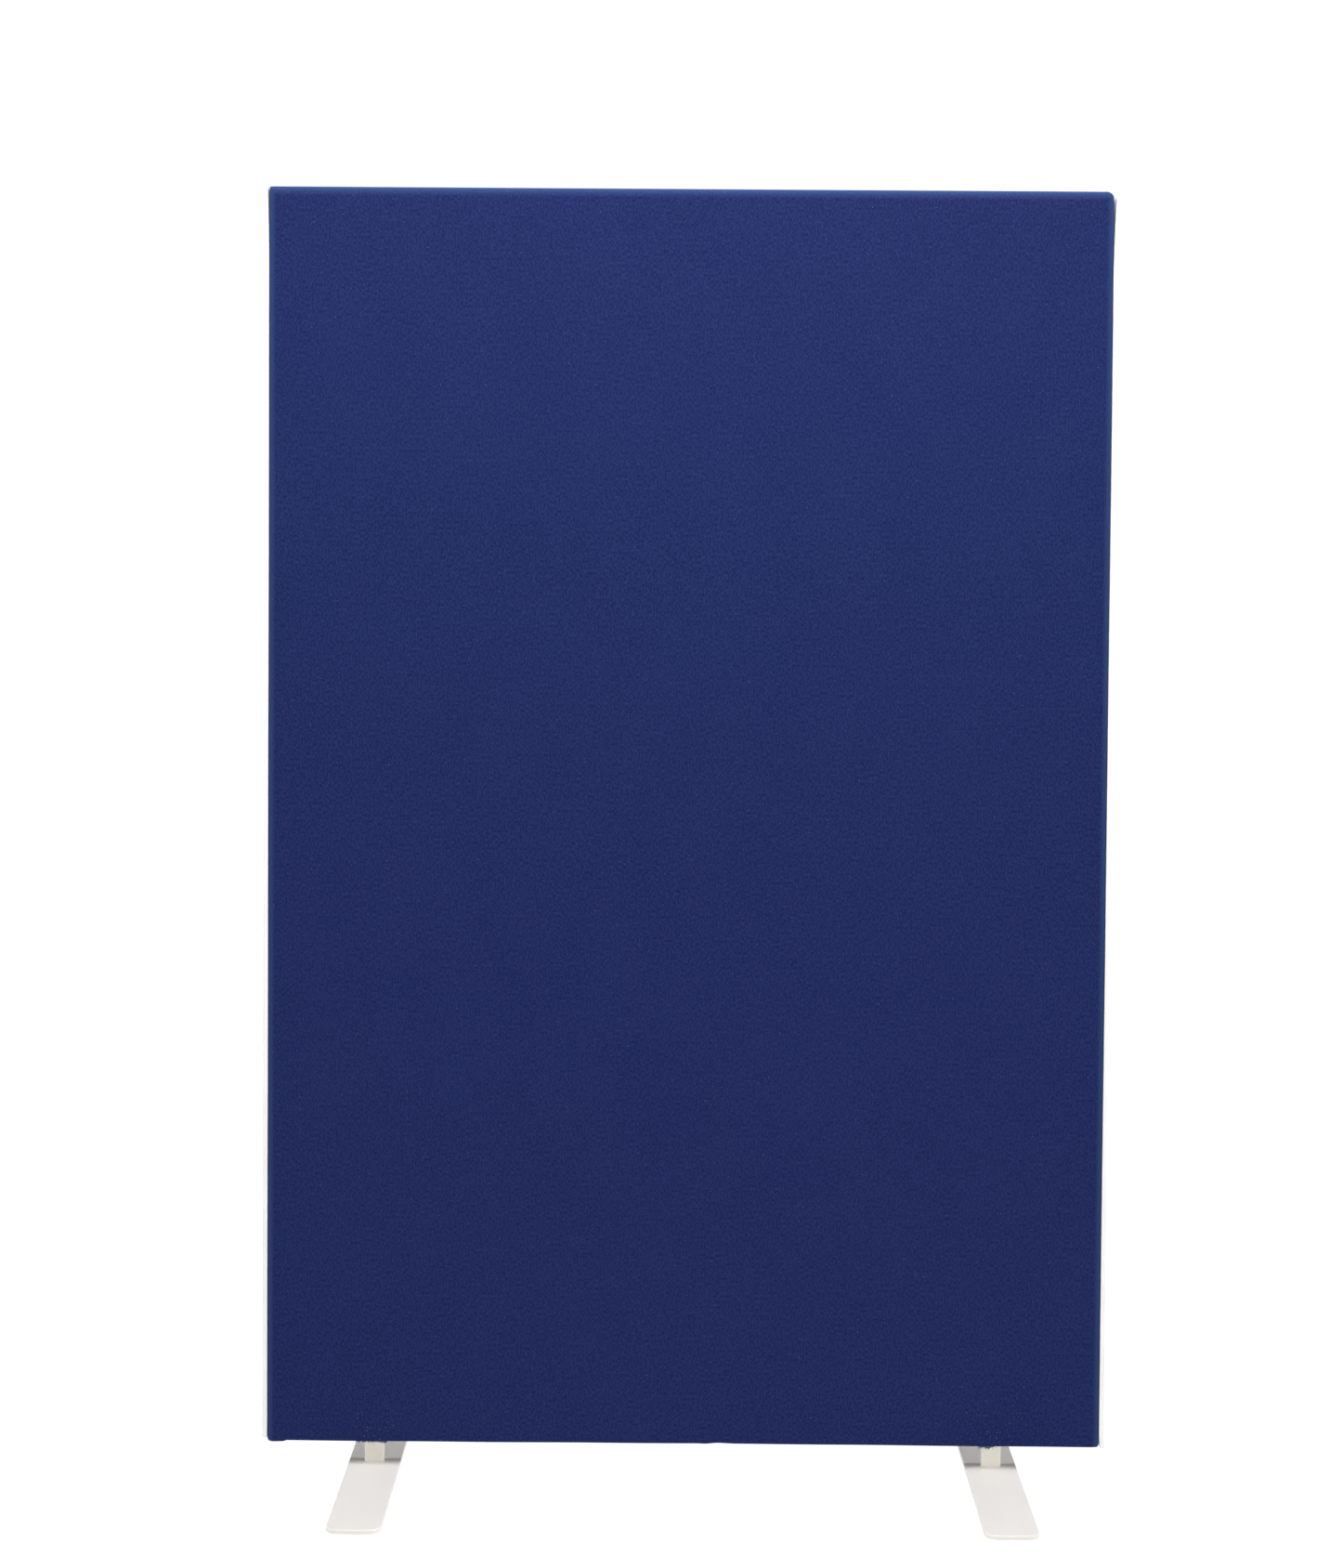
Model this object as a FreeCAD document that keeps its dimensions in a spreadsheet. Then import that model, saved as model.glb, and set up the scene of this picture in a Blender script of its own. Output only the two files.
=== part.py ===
import FreeCAD, Part
import math
import os

import Sketcher

# Free-standing fabric-covered partition wall, in millimetres.
# +X runs along the wall, -Y is the front face, +Z is up.
# The origin is on the floor, midway between the two feet.

DRIVING_SIZES = {
    # the covered panel
    "fabric_width": 1200,
    "fabric_height": 1800,
    "panel_thickness": 28,
    "floor_gap": 42,
    "fabric_thickness": 0.8,
    "cover_round": 4,
    "cavity_round": 2,
    "cover_lap": 8,
    "cover_corner": 40,
    "slit_clearance_x": 2,
    "slit_clearance_y": 1.5,
    "overcut": 5,
    # the frame and its boards
    "frame_setback": 0.6,
    "board_thickness": 2.5,
    "board_setback": 6,
    "corner_ease": 8,
    "timber_face": 45,
    "bottom_rail_face": 95,
    "dowel_diameter": 8,
    "dowel_length": 40,
    "dowel_pitch": 24,
    # the paper honeycomb
    "cell_side": 36,
    "paper_thickness": 0.6,
    "core_clearance": 0.2,
    # the plastic edge trims
    "trim_proud": 7,
    "trim_length": 1797,
    "trim_right_drop": 5.5,
    "trim_round": 2.5,
    "channel_mouth": 6,
    "channel_width": 14,
    "channel_depth": 5.2,
    "channel_lip": 1.6,
    "trim_screw_length": 22,
    "trim_screw_inset": 60,
    # the foot sockets
    "foot_spacing": 892,
    "tongue_insertion": 70,
    "socket_clearance": 0.3,
    "socket_wall": 1.5,
    "socket_seat_gap": 0.1,
    "flange_length": 76,
    "flange_width": 18,
    "flange_thickness": 2,
    "socket_screw_pitch": 58,
    "socket_screw_length": 18,
    # the feet
    "foot_length": 450,
    "foot_width": 75,
    "foot_thickness": 6,
    "foot_corner": 15,
    "foot_edge_round": 1.5,
    "tongue_width": 29,
    "tongue_thickness": 5,
    "tongue_edge_round": 2,
    "weld_leg": 2.5,
    "weld_recess": 0.2,
    "weld_toe": 0.1,
    # the wire staples
    "staple_crown": 10,
    "staple_leg": 9,
    "staple_wire": 1,
    "stile_staple_inset": 30,
    "rail_staple_reach": 400,
    "cover_staple_reach": 540,
}

TRIM_SCREW_COUNT = 6
STILE_STAPLE_COUNT = 9
RAIL_STAPLE_COUNT = 5
COVER_STAPLE_COUNT = 12

SCREW_DIAMETER = 3.5
SCREW_HEAD_DIAMETER = 6.4
SCREW_HEAD_HEIGHT = 1.7
SIDES = {"left": -1, "right": 1}
FACES = {"front": -1, "rear": 1}
UP = FreeCAD.Vector(0, 0, 1)

doc = FreeCAD.newDocument("partition_wall")


def make_sheet():
    """The spreadsheet that every size is read from."""
    sheet = doc.addObject("Spreadsheet::Sheet", "Sizes")
    for row, (alias, value) in enumerate(DRIVING_SIZES.items(), start=1):
        sheet.set(f"A{row}", alias)
        sheet.set(f"B{row}", str(value))
        sheet.setAlias(f"B{row}", alias)
    doc.recompute()
    return sheet


sizes = make_sheet()

# Formulas that several pieces share.
LINING = "(Sizes.fabric_thickness + Sizes.frame_setback)"
FRAME_BOTTOM = f"(Sizes.floor_gap + {LINING})"
FRAME_HEIGHT = f"(Sizes.fabric_height - 2 * {LINING})"
FRAME_HALF = f"(Sizes.fabric_width / 2 - {LINING})"
FRAME_DEPTH = "(Sizes.panel_thickness - 2 * (Sizes.fabric_thickness + Sizes.board_thickness))"
RAIL_LENGTH = f"(2 * {FRAME_HALF} - 2 * Sizes.timber_face)"
SOCKET_INSIDE_LENGTH = "(Sizes.tongue_width + 2 * Sizes.socket_clearance)"
SOCKET_INSIDE_WIDTH = "(Sizes.tongue_thickness + 2 * Sizes.socket_clearance)"
SOCKET_DEPTH = "(Sizes.tongue_insertion + Sizes.socket_seat_gap)"
SOCKET_HEIGHT = f"({SOCKET_DEPTH} + Sizes.socket_wall)"


def size(alias):
    """One driving size, for the shapes made with Part's own functions."""
    return float(sizes.get(alias))


# Heights that the fasteners and cores share with the frame's formulas.
lining = size("fabric_thickness") + size("frame_setback")
frame_bottom = size("floor_gap") + lining
frame_top = size("floor_gap") + size("fabric_height") - lining
frame_half = size("fabric_width") / 2 - lining
frame_depth = size("panel_thickness") - 2 * (size("fabric_thickness") + size("board_thickness"))
middle_rail_low = (frame_bottom + size("bottom_rail_face") + frame_top - 2 * size("timber_face")) / 2


def bind(piece, formulas):
    """Ties properties of a piece to formulas on the spreadsheet."""
    for name, formula in formulas.items():
        piece.setExpression(name, formula)


def place(piece, x="0", y="0", z="0"):
    bind(piece, {"Placement.Base.x": x, "Placement.Base.y": y, "Placement.Base.z": z})


def block(name, along_x, along_y, along_z, low_corner):
    """A square-edged block from its three sizes and its lowest corner."""
    piece = doc.addObject("Part::Box", name)
    bind(piece, {"Length": along_x, "Width": along_y, "Height": along_z})
    place(piece, *low_corner)
    return piece


def cut(name, base, tool):
    piece = doc.addObject("Part::Cut", name)
    piece.Base = base
    piece.Tool = tool
    return piece


def group(name, solids):
    """Identical fasteners as one object of separate solids."""
    piece = doc.addObject("Part::Feature", name)
    piece.Shape = Part.makeCompound(solids)
    return piece


def make_body(name):
    return doc.addObject("PartDesign::Body", name)


def origin_plane(body, role):
    return next(f for f in body.Origin.OriginFeatures if f.Role == role)


def rectangle(body, name, low_x, low_y, width, depth, height="0"):
    """A sketch of a rectangle, level, at a height above the body's base plane."""
    sketch = body.newObject("Sketcher::SketchObject", name)
    sketch.AttachmentSupport = [(origin_plane(body, "XY_Plane"), "")]
    sketch.MapMode = "FlatFace"
    sketch.setExpression("AttachmentOffset.Base.z", height)
    corners = [FreeCAD.Vector(*xy, 0) for xy in ((0, 0), (10, 0), (10, 10), (0, 10))]
    for start, end in zip(corners, corners[1:] + corners[:1]):
        sketch.addGeometry(Part.LineSegment(start, end))
    for side in range(4):
        sketch.addConstraint(Sketcher.Constraint("Coincident", side, 2, (side + 1) % 4, 1))
        direction = "Horizontal" if side % 2 == 0 else "Vertical"
        sketch.addConstraint(Sketcher.Constraint(direction, side))
    named = {
        "low_x": Sketcher.Constraint("DistanceX", -1, 1, 0, 1, 1),
        "low_y": Sketcher.Constraint("DistanceY", -1, 1, 0, 1, 1),
        "width": Sketcher.Constraint("DistanceX", 0, 1, 0, 2, 10),
        "depth": Sketcher.Constraint("DistanceY", 1, 1, 1, 2, 10),
    }
    for label, formula in zip(named, (low_x, low_y, width, depth)):
        index = sketch.addConstraint(named[label])
        sketch.renameConstraint(index, label)
        sketch.setExpression(f"Constraints.{label}", formula)
    return sketch


def centred_rectangle(body, name, width, depth, height="0"):
    return rectangle(body, name, f"-({width}) / 2", f"-({depth}) / 2", width, depth, height)


def pad(body, name, sketch, length, taper=None):
    feature = body.newObject("PartDesign::Pad", name)
    feature.Profile = sketch
    feature.setExpression("Length", length)
    if taper is not None:
        feature.TaperAngle = taper
    return feature


def pocket(body, name, sketch, length):
    """Cuts upwards from its sketch."""
    feature = body.newObject("PartDesign::Pocket", name)
    feature.Profile = sketch
    feature.Reversed = True
    feature.setExpression("Length", length)
    return feature


def round_edges(body, name, radius, wanted):
    """A fillet on every edge of the body so far that wanted() picks."""
    doc.recompute()
    base = body.Tip
    picked = [f"Edge{i}" for i, edge in enumerate(base.Shape.Edges, start=1) if wanted(edge)]
    feature = body.newObject("PartDesign::Fillet", name)
    feature.Base = (base, picked)
    feature.setExpression("Radius", radius)
    return feature


def is_upright(edge):
    box = edge.BoundBox
    return box.ZLength > 0.5 and box.XLength < 0.01 and box.YLength < 0.01


def lies_at(height):
    """Picks the edges that lie in the level plane at that height."""
    return lambda edge: edge.BoundBox.ZLength < 0.01 and abs(edge.BoundBox.ZMin - height) < 0.01


# ---- fasteners ----


def screw(tip_length, head_centre, direction):
    """A countersunk screw: its head's flat centre and the way it points."""
    head = Part.makeCone(
        SCREW_HEAD_DIAMETER / 2, SCREW_DIAMETER / 2, SCREW_HEAD_HEIGHT, head_centre, direction
    )
    shank = Part.makeCylinder(SCREW_DIAMETER / 2, tip_length, head_centre, direction)
    return head.fuse(shank).removeSplitter()


def staple(centre, crown_along, driven_along):
    """A wire staple: its crown's middle on the surface, and the way it is driven."""
    half = size("staple_crown") / 2
    wire = size("staple_wire")
    across = crown_along.cross(driven_along)

    def bar(start, end, depth):
        """A square bar from start to end along the crown, as deep as stated."""
        corner = centre + crown_along * start - across * (wire / 2)
        outline = [
            corner,
            corner + crown_along * (end - start),
            corner + crown_along * (end - start) + across * wire,
            corner + across * wire,
        ]
        return Part.Face(Part.makePolygon(outline + [corner])).extrude(driven_along * depth)

    crown = bar(-half, half, wire / 2)
    legs = [bar(-half, wire - half, size("staple_leg")), bar(half - wire, half, size("staple_leg"))]
    return crown.fuse(legs).removeSplitter()


def evenly(low, high, count):
    return [low + (high - low) * i / (count - 1) for i in range(count)]


def make_frame_dowels():
    """Two dowels across every joint between a rail and a stile."""
    seam = frame_half - size("timber_face")
    half_pitch = size("dowel_pitch") / 2
    half_face = size("timber_face") / 2
    rail_middles = [
        frame_bottom + size("bottom_rail_face") / 2,
        middle_rail_low + half_face,
        frame_top - half_face,
    ]
    solids = []
    for side in SIDES.values():
        for middle in rail_middles:
            for height in (middle - half_pitch, middle + half_pitch):
                start = FreeCAD.Vector(side * seam - size("dowel_length") / 2, 0, height)
                solids.append(
                    Part.makeCylinder(
                        size("dowel_diameter") / 2,
                        size("dowel_length"),
                        start,
                        FreeCAD.Vector(1, 0, 0),
                    )
                )
    return group("frame_dowels", solids)


def trim_low(side):
    """The lower end of a trim: the right one hangs a little lower than the left."""
    top = size("floor_gap") + size("fabric_height")
    drop = size("trim_right_drop") if side > 0 else 0
    return top - drop - size("trim_length")


def make_trim_screws(label, side):
    """Countersunk screws in the floor of the trim's channel."""
    floor_x = size("fabric_width") / 2 + size("trim_proud") - size("channel_depth")
    low = trim_low(side) + size("trim_screw_inset")
    high = low + size("trim_length") - 2 * size("trim_screw_inset")
    inward = FreeCAD.Vector(-side, 0, 0)
    solids = [
        screw(size("trim_screw_length"), FreeCAD.Vector(side * floor_x, 0, height), inward)
        for height in evenly(low, high, TRIM_SCREW_COUNT)
    ]
    return group(f"{label}_trim_screws", solids)


def make_socket_screws(label, side):
    """Two countersunk screws through each socket's flange, driven upwards."""
    middle = side * size("foot_spacing") / 2
    half_pitch = size("socket_screw_pitch") / 2
    solids = [
        screw(size("socket_screw_length"), FreeCAD.Vector(x, 0, frame_bottom), UP)
        for x in (middle - half_pitch, middle + half_pitch)
    ]
    return group(f"{label}_socket_screws", solids)


def make_board_staples():
    """Staples through both boards into the stiles and rails."""
    half_face = size("timber_face") / 2
    surface = frame_depth / 2 + size("board_thickness")
    low = frame_bottom + size("stile_staple_inset")
    high = frame_top - size("stile_staple_inset")
    reach = size("rail_staple_reach")
    uprights = [
        (x, height, UP)
        for x in (half_face - frame_half, frame_half - half_face)
        for height in evenly(low, high, STILE_STAPLE_COUNT)
    ]
    levels = [
        (x, height, FreeCAD.Vector(1, 0, 0))
        for height in (frame_bottom + half_face, middle_rail_low + half_face, frame_top - half_face)
        for x in evenly(-reach, reach, RAIL_STAPLE_COUNT)
    ]
    solids = []
    for face in FACES.values():
        inward = FreeCAD.Vector(0, -face, 0)
        for x, height, crown in uprights + levels:
            solids.append(staple(FreeCAD.Vector(x, face * surface, height), crown, inward))
    return group("board_staples", solids)


def make_cover_staples():
    """Staples that hold the cover's hem under the bottom rail, clear of the sockets."""
    reach = size("cover_staple_reach")
    solids = [
        staple(FreeCAD.Vector(x, 0, size("floor_gap")), FreeCAD.Vector(1, 0, 0), UP)
        for x in evenly(-reach, reach, COVER_STAPLE_COUNT)
        if abs(abs(x) - size("foot_spacing") / 2) > size("flange_length") / 2
    ]
    return group("cover_staples", solids)


# ---- the panel ----


def ease_top_corner(label, side, blank):
    """Bevels a stile's top outer corner, so that the cloth over it isn't strained."""
    doc.recompute()
    piece = doc.addObject("Part::Chamfer", f"{label}_stile_eased")
    piece.Base = blank
    ease = size("corner_ease")

    def is_top_corner(edge):
        middle = edge.BoundBox.Center
        offset = abs(middle.x - side * frame_half) + abs(middle.z - frame_top)
        return offset < 0.01

    numbered = enumerate(blank.Shape.Edges, start=1)
    piece.Edges = [(number, ease, ease) for number, edge in numbered if is_top_corner(edge)]
    return piece


def make_stile(label, side, dowels, screws):
    """An outer upright, drilled for its dowels and for the trim's screws."""
    low_x = f"-{FRAME_HALF}" if side < 0 else f"{FRAME_HALF} - Sizes.timber_face"
    blank = block(
        f"{label}_stile_blank",
        "Sizes.timber_face",
        FRAME_DEPTH,
        FRAME_HEIGHT,
        (low_x, f"-{FRAME_DEPTH} / 2", FRAME_BOTTOM),
    )
    doweled = cut(f"{label}_stile_doweled", ease_top_corner(label, side, blank), dowels)
    return cut(f"{label}_stile", doweled, screws)


def make_rail(name, face, low_z, dowels):
    """A rail between the stiles, drilled for its dowels."""
    blank = block(
        f"{name}_blank",
        RAIL_LENGTH,
        FRAME_DEPTH,
        face,
        (f"-{RAIL_LENGTH} / 2", f"-{FRAME_DEPTH} / 2", low_z),
    )
    return cut(name, blank, dowels)


def make_socket_hole(label, side):
    """The room that a socket takes up in the bottom rail."""
    middle = f"{side} * Sizes.foot_spacing / 2"
    sleeve_length = f"({SOCKET_INSIDE_LENGTH} + 2 * Sizes.socket_wall)"
    sleeve_width = f"({SOCKET_INSIDE_WIDTH} + 2 * Sizes.socket_wall)"
    mortise = block(
        f"{label}_mortise",
        sleeve_length,
        sleeve_width,
        SOCKET_HEIGHT,
        (f"{middle} - {sleeve_length} / 2", f"-{sleeve_width} / 2", FRAME_BOTTOM),
    )
    housing = block(
        f"{label}_flange_housing",
        "Sizes.flange_length",
        "Sizes.flange_width",
        "Sizes.flange_thickness",
        (f"{middle} - Sizes.flange_length / 2", "-Sizes.flange_width / 2", FRAME_BOTTOM),
    )
    hole = doc.addObject("Part::Fuse", f"{label}_socket_hole")
    hole.Base = mortise
    hole.Tool = housing
    return hole


def make_bottom_rail(dowels, socket_screws):
    """The deep bottom rail, mortised for both sockets and drilled for their screws."""
    rail = make_rail("bottom_rail_doweled", "Sizes.bottom_rail_face", FRAME_BOTTOM, dowels)
    for label, side in SIDES.items():
        rail = cut(f"bottom_rail_{label}_mortised", rail, make_socket_hole(label, side))
    rail = cut("bottom_rail_left_drilled", rail, socket_screws["left"])
    return cut("bottom_rail", rail, socket_screws["right"])


def make_core(name, low_z, high_z):
    """Expanded paper honeycomb: zigzag ribbons that meet along their flats."""
    side = size("cell_side")
    rise = side * math.sqrt(3) / 2
    clearance = size("core_clearance")
    half_paper = size("paper_thickness") / 2
    half_length = frame_half - size("timber_face") - clearance
    depth = frame_depth - 2 * clearance
    ribbon_pitch = rise + 2 * half_paper
    count = int((high_z - low_z - 2 * clearance) / ribbon_pitch)
    base = (low_z + high_z - count * ribbon_pitch) / 2
    steps = int(2 * half_length / (1.5 * side))
    start = -steps * 1.5 * side / 2

    def ribbon(index):
        """One ribbon, as an outline with a lower and an upper edge."""
        bottom = base + index * ribbon_pitch + half_paper
        line = []
        for step in range(steps + 1):
            high = (step + index) % 2 == 1
            height = bottom + (rise if high else 0)
            line.append((start + step * 1.5 * side - side / 2, height))
            line.append((start + step * 1.5 * side + side / 2, height))
        line[0] = (start, line[0][1])
        line[-1] = (-start, line[-1][1])
        front = -depth / 2
        lower = [FreeCAD.Vector(x, front, z - half_paper) for x, z in line]
        upper = [FreeCAD.Vector(x, front, z + half_paper) for x, z in reversed(line)]
        outline = Part.makePolygon(lower + upper + lower[:1])
        return Part.Face(outline).extrude(FreeCAD.Vector(0, depth, 0))

    return group(name, [ribbon(index) for index in range(count)])


def make_board(label, face):
    """A thin hardboard skin, set back from the panel's edges."""
    setback = "(Sizes.fabric_thickness + Sizes.board_setback)"
    low_y = f"{FRAME_DEPTH} / 2" if face > 0 else f"-{FRAME_DEPTH} / 2 - Sizes.board_thickness"
    return block(
        f"{label}_board",
        f"Sizes.fabric_width - 2 * {setback}",
        "Sizes.board_thickness",
        f"Sizes.fabric_height - 2 * {setback}",
        (f"{setback} - Sizes.fabric_width / 2", low_y, f"Sizes.floor_gap + {setback}"),
    )


def rounded_block(name, inset, radius):
    """The panel's outline, inset all round, with every edge rounded."""
    body = make_body(name)
    outline = centred_rectangle(
        body,
        f"{name}_outline",
        f"Sizes.fabric_width - 2 * {inset}",
        f"Sizes.panel_thickness - 2 * {inset}",
        f"Sizes.floor_gap + {inset}",
    )
    pad(body, f"{name}_height", outline, f"Sizes.fabric_height - 2 * {inset}")
    round_edges(body, f"{name}_round", radius, lambda edge: True)
    return body


def make_fabric_cover():
    """One cloth over the front, top, back and underside, its side hems turned onto
    the stiles, with a slit in the underside for each foot's tongue."""
    outside = rounded_block("cover_outside", "0", "Sizes.cover_round")
    inside = rounded_block("cover_inside", "Sizes.fabric_thickness", "Sizes.cavity_round")
    sock = cut("cover_sock", outside, inside)
    hem_gap = block(
        "cover_hem_gap",
        "Sizes.fabric_width + 2 * Sizes.overcut",
        "Sizes.panel_thickness - 2 * Sizes.cover_lap",
        "Sizes.fabric_height - 2 * Sizes.cover_corner",
        (
            "-Sizes.fabric_width / 2 - Sizes.overcut",
            "Sizes.cover_lap - Sizes.panel_thickness / 2",
            "Sizes.floor_gap + Sizes.cover_corner",
        ),
    )
    cover = cut("cover_hemmed", sock, hem_gap)
    half_x = "(Sizes.tongue_width / 2 + Sizes.slit_clearance_x)"
    half_y = "(Sizes.tongue_thickness / 2 + Sizes.slit_clearance_y)"
    for label, side in SIDES.items():
        slit = block(
            f"{label}_cover_slit",
            f"2 * {half_x}",
            f"2 * {half_y}",
            "2 * Sizes.overcut",
            (
                f"{side} * Sizes.foot_spacing / 2 - {half_x}",
                f"-{half_y}",
                "Sizes.floor_gap - Sizes.overcut",
            ),
        )
        name = "fabric_cover" if label == "right" else "cover_left_slit"
        cover = cut(name, cover, slit)
    return cover


def make_edge_trim(label, side, screws):
    """An extruded plastic trim with an undercut channel for a linking strip."""
    body = make_body(f"{label}_trim_extrusion")
    thickness = "Sizes.panel_thickness"
    proud = "Sizes.trim_proud"
    floor = "(Sizes.trim_proud - Sizes.channel_depth)"

    def across(start, end, width, name):
        """A rectangle from start to end outwards from the stile, mirrored for the left trim."""
        low = f"({start})" if side > 0 else f"-({end})"
        return rectangle(body, name, low, f"-{width} / 2", f"({end}) - ({start})", width)

    length = "Sizes.trim_length"
    pad(body, f"{label}_trim_bar", across("0", proud, thickness, f"{label}_trim_outline"), length)
    lip_start = f"{proud} - Sizes.channel_lip"
    open_end = f"{proud} + Sizes.overcut"
    mouth = across(floor, open_end, "Sizes.channel_mouth", f"{label}_mouth_outline")
    undercut = across(floor, lip_start, "Sizes.channel_width", f"{label}_channel_outline")
    outer_face = side * size("trim_proud")
    round_edges(
        body,
        f"{label}_trim_rounding",
        "Sizes.trim_round",
        lambda edge: is_upright(edge) and abs(edge.BoundBox.XMin - outer_face) < 0.01,
    )
    pocket(body, f"{label}_mouth", mouth, length)
    pocket(body, f"{label}_channel", undercut, length)
    top = "Sizes.floor_gap + Sizes.fabric_height"
    drop = "Sizes.trim_right_drop" if side > 0 else "0"
    place(body, f"{side} * Sizes.fabric_width / 2", "0", f"{top} - {drop} - {length}")
    return cut(f"{label}_edge_trim", body, screws)


def make_socket(label, side, screws):
    """A closed-topped steel sleeve with a flange, let into the bottom rail."""
    body = make_body(f"{label}_socket_body")
    flange = centred_rectangle(
        body, f"{label}_flange_outline", "Sizes.flange_length", "Sizes.flange_width"
    )
    pad(body, f"{label}_flange", flange, "Sizes.flange_thickness")
    sleeve = centred_rectangle(
        body,
        f"{label}_sleeve_outline",
        f"{SOCKET_INSIDE_LENGTH} + 2 * Sizes.socket_wall",
        f"{SOCKET_INSIDE_WIDTH} + 2 * Sizes.socket_wall",
    )
    pad(body, f"{label}_sleeve", sleeve, SOCKET_HEIGHT)
    inside = centred_rectangle(
        body, f"{label}_inside_outline", SOCKET_INSIDE_LENGTH, SOCKET_INSIDE_WIDTH
    )
    pocket(body, f"{label}_inside", inside, SOCKET_DEPTH)
    place(body, f"{side} * Sizes.foot_spacing / 2", "0", FRAME_BOTTOM)
    return cut(f"{label}_socket", body, screws)


# ---- the feet ----


def make_foot_tongue(label, side):
    """The upright flat bar that fills the socket, with its lower end let through the plate."""
    body = make_body(f"{label}_foot_tongue")
    outline = centred_rectangle(
        body, f"{label}_tongue_outline", "Sizes.tongue_width", "Sizes.tongue_thickness"
    )
    length = f"{FRAME_BOTTOM} + Sizes.tongue_insertion - Sizes.weld_recess"
    pad(body, f"{label}_tongue", outline, length)
    round_edges(body, f"{label}_tongue_rounding", "Sizes.tongue_edge_round", is_upright)
    place(body, f"{side} * Sizes.foot_spacing / 2", "0", "Sizes.weld_recess")
    return body


def make_foot_weld(label, side, tongue):
    """The weld that fills the countersink round the tongue, just short of the sole."""
    body = make_body(f"{label}_weld_bead")
    outline = centred_rectangle(
        body,
        f"{label}_weld_outline",
        "Sizes.tongue_width + 2 * Sizes.weld_leg",
        "Sizes.tongue_thickness + 2 * Sizes.weld_leg",
    )
    pad(body, f"{label}_weld_fill", outline, "Sizes.weld_leg - Sizes.weld_toe", taper=-45)
    place(body, f"{side} * Sizes.foot_spacing / 2", "0", "Sizes.weld_recess")
    return cut(f"{label}_foot_weld", body, tongue)


def make_foot_plate(label, side, tongue, weld):
    """A flat steel bar with rounded corners and a softened upper edge, slotted for its
    tongue and countersunk below for the weld."""
    body = make_body(f"{label}_plate_bar")
    outline = centred_rectangle(
        body, f"{label}_plate_outline", "Sizes.foot_width", "Sizes.foot_length"
    )
    pad(body, f"{label}_plate", outline, "Sizes.foot_thickness")
    round_edges(body, f"{label}_plate_corners", "Sizes.foot_corner", is_upright)
    top_edges = lies_at(size("foot_thickness"))
    round_edges(body, f"{label}_plate_rounding", "Sizes.foot_edge_round", top_edges)
    place(body, f"{side} * Sizes.foot_spacing / 2")
    mouth = block(
        f"{label}_countersink_mouth",
        "Sizes.tongue_width + 2 * Sizes.weld_leg",
        "Sizes.tongue_thickness + 2 * Sizes.weld_leg",
        "Sizes.weld_recess",
        (
            f"{side} * Sizes.foot_spacing / 2 - Sizes.tongue_width / 2 - Sizes.weld_leg",
            "-Sizes.tongue_thickness / 2 - Sizes.weld_leg",
            "0",
        ),
    )
    slotted = cut(f"{label}_plate_slotted", body, tongue)
    opened = cut(f"{label}_plate_opened", slotted, mouth)
    return cut(f"{label}_foot_plate", opened, weld)


def make_panel():
    """Every piece that lifts off the feet together."""
    dowels = make_frame_dowels()
    trim_screws = {label: make_trim_screws(label, side) for label, side in SIDES.items()}
    socket_screws = {label: make_socket_screws(label, side) for label, side in SIDES.items()}
    middle_low = (
        f"({FRAME_BOTTOM} + Sizes.bottom_rail_face + {FRAME_BOTTOM} + {FRAME_HEIGHT}"
        " - 2 * Sizes.timber_face) / 2"
    )
    top_low = f"{FRAME_BOTTOM} + {FRAME_HEIGHT} - Sizes.timber_face"
    pieces = [
        make_rail("top_rail", "Sizes.timber_face", top_low, dowels),
        make_rail("middle_rail", "Sizes.timber_face", middle_low, dowels),
        make_bottom_rail(dowels, socket_screws),
        make_core("lower_core", frame_bottom + size("bottom_rail_face"), middle_rail_low),
        make_core("upper_core", middle_rail_low + size("timber_face"), frame_top - size("timber_face")),
        make_fabric_cover(),
        make_board_staples(),
        make_cover_staples(),
        dowels,
    ]
    pieces += [make_board(label, face) for label, face in FACES.items()]
    for label, side in SIDES.items():
        pieces.append(make_stile(label, side, dowels, trim_screws[label]))
        pieces.append(make_edge_trim(label, side, trim_screws[label]))
        pieces.append(make_socket(label, side, socket_screws[label]))
        pieces += [trim_screws[label], socket_screws[label]]
    return pieces


def make_foot(label, side):
    tongue = make_foot_tongue(label, side)
    weld = make_foot_weld(label, side, tongue)
    return [make_foot_plate(label, side, tongue, weld), tongue, weld]


def check(pieces):
    """Stops if any object failed or any piece is not a valid solid."""
    failed = [o.Label for o in doc.Objects if {"Invalid", "Error"} & set(o.State)]
    if failed:
        raise RuntimeError(f"failed objects: {failed}")
    for piece in pieces:
        shape = piece.Shape
        if shape.isNull() or not shape.isValid() or not shape.Solids:
            raise RuntimeError(f"{piece.Label} has no valid solid")


def main():
    pieces = make_panel()
    for label, side in SIDES.items():
        pieces += make_foot(label, side)
    doc.recompute()
    check(pieces)
    os.makedirs("parts", exist_ok=True)
    for piece in pieces:
        piece.Shape.exportStep(f"parts/{piece.Label}.step")
        print(f"{piece.Label}: {len(piece.Shape.Solids)} solids, {piece.Shape.Volume:.0f} mm3")


main()
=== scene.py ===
import math
import random

import bmesh
import bpy
from mathutils import Matrix, Vector, noise


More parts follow.
